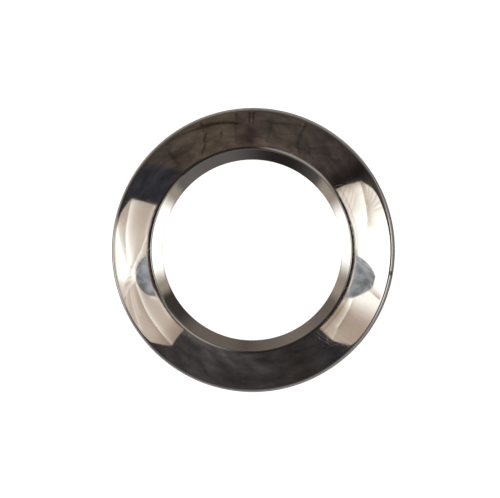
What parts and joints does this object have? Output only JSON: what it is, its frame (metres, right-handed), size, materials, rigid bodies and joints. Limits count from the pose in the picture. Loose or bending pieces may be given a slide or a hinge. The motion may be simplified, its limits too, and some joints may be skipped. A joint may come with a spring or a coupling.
{
  "type": "washer",
  "caption": "Round polished steel washer with a gently crowned face, a wide countersunk hole and a flat underside.",
  "frame": {"origin": "centre of the hole at the flat underside", "axes": "+Z along the hole's axis, out of the crowned face; the ring is round, so X and Y are any two directions across it"},
  "size_m": [0.039, 0.039, 0.004],
  "materials": {
    "polished_steel": "mirror polish with fine hairline scratches"
  },
  "bodies": {
    "root": {"washer_ring": "polished_steel"}
  },
  "joints": []
}
